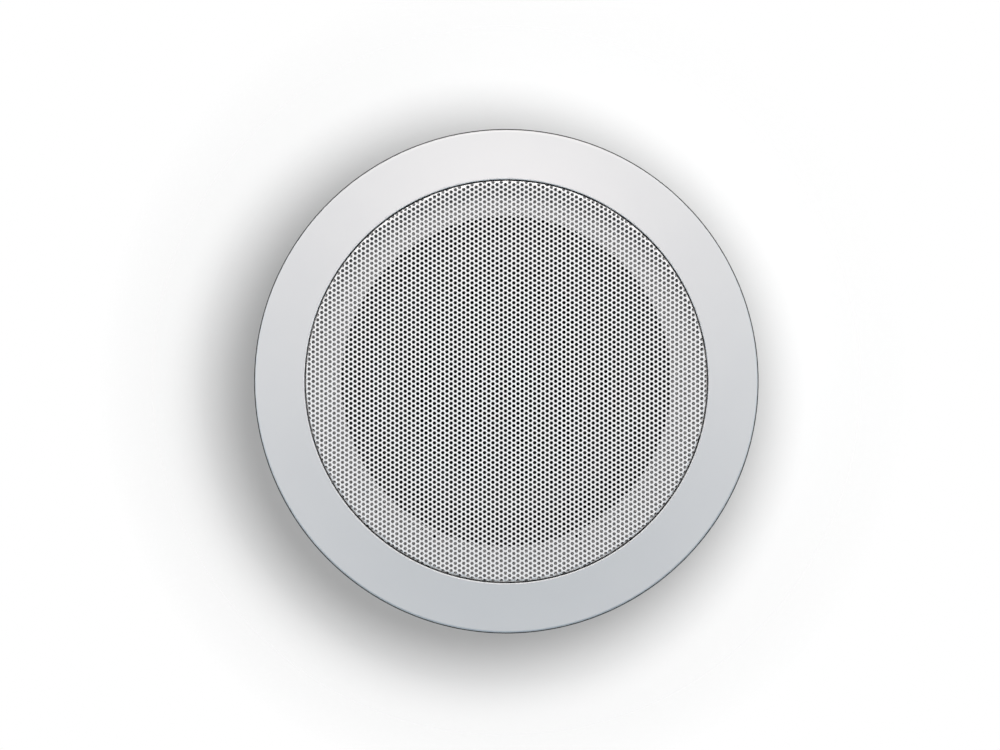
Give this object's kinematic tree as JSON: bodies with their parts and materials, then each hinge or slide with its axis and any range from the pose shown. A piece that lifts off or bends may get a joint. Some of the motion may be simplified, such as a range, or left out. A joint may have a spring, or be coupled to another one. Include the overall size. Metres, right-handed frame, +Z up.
{
  "type": "in-ceiling speaker",
  "caption": "Round in-ceiling speaker: a white moulded ring with a flat perforated grille, a cone driver behind it and sprung clips that grip the ceiling panel.",
  "frame": {"origin": "centre of the plane where the gasket meets the underside of the ceiling", "axes": "+Z up into the ceiling void, the grille faces -Z, +Y is the top of the front view"},
  "size_m": [0.205, 0.205, 0.0668],
  "materials": {
    "white_abs": "satin moulded ABS",
    "white_steel": "white coil coat, grey primer on the back",
    "foam": "closed-cell foam",
    "black_steel": "black enamel",
    "plated_steel": "zinc plate",
    "spring_steel": "drawn spring wire",
    "aluminium": "plain",
    "ferrite": "ground sintered ferrite",
    "surround_rubber": "moulded rubber",
    "pad_rubber": "moulded rubber",
    "cone_paper": "pressed pulp",
    "spider_cloth": "resin-stiffened cloth",
    "fibre_board": "laminated paper board",
    "tag_brass": "tinned brass",
    "tinsel": "braided tinsel",
    "copper": "enamelled wire"
  },
  "bodies": {
    "speaker": {"frame": "white_abs", "ceiling_gasket": "foam", "grille": "white_steel", "driver_gasket": "foam", "basket": "black_steel", "surround": "surround_rubber", "spider": "spider_cloth", "top_plate": "plated_steel", "magnet": "ferrite", "pole_yoke": "plated_steel", "tag_strip": "fibre_board", "tag_plus": "tag_brass", "tag_minus": "tag_brass", "tag_rivet": "tag_brass", "tinsel_leads": "tinsel", "driver_screws": "plated_steel", "clip_bracket_1": "plated_steel", "clip_pin_1": "plated_steel", "clip_spring_1": "spring_steel", "clip_rivet_1": "aluminium", "clip_bracket_2": "plated_steel", "clip_pin_2": "plated_steel", "clip_spring_2": "spring_steel", "clip_rivet_2": "aluminium", "clip_bracket_3": "plated_steel", "clip_pin_3": "plated_steel", "clip_spring_3": "spring_steel", "clip_rivet_3": "aluminium"},
    "moving_cone": {"cone": "cone_paper", "dust_cap": "cone_paper", "coil_former": "aluminium", "voice_coil": "copper"},
    "clip_1": {"clip_arm_1": "plated_steel", "clip_pad_1": "pad_rubber"},
    "clip_2": {"clip_arm_2": "plated_steel", "clip_pad_2": "pad_rubber"},
    "clip_3": {"clip_arm_3": "plated_steel", "clip_pad_3": "pad_rubber"}
  },
  "joints": [
    {"name": "cone_stroke", "type": "slide", "parent": "speaker", "child": "moving_cone", "axis": [0, 0, 1], "range_m": [-0.004, 0.004], "stiffness_N_per_m": 1900, "deforming": ["surround", "spider", "tinsel_leads"]},
    {"name": "clip_1_fold", "type": "hinge", "parent": "speaker", "child": "clip_1", "pos_m": [0, 0.0828, 0.0186], "axis": [1, 0, 0], "range_deg": [0, 125], "stiffness_Nm_per_rad": 0.006, "springref_deg": -45.84, "deforming": ["clip_spring_1"]},
    {"name": "clip_2_fold", "type": "hinge", "parent": "speaker", "child": "clip_2", "pos_m": [-0.07171, -0.0414, 0.0186], "axis": [-0.5, 0.866, 0], "range_deg": [0, 125], "stiffness_Nm_per_rad": 0.006, "springref_deg": -45.84, "deforming": ["clip_spring_2"]},
    {"name": "clip_3_fold", "type": "hinge", "parent": "speaker", "child": "clip_3", "pos_m": [0.07171, -0.0414, 0.0186], "axis": [-0.5, -0.866, 0], "range_deg": [0, 125], "stiffness_Nm_per_rad": 0.006, "springref_deg": -45.84, "deforming": ["clip_spring_3"]}
  ]
}
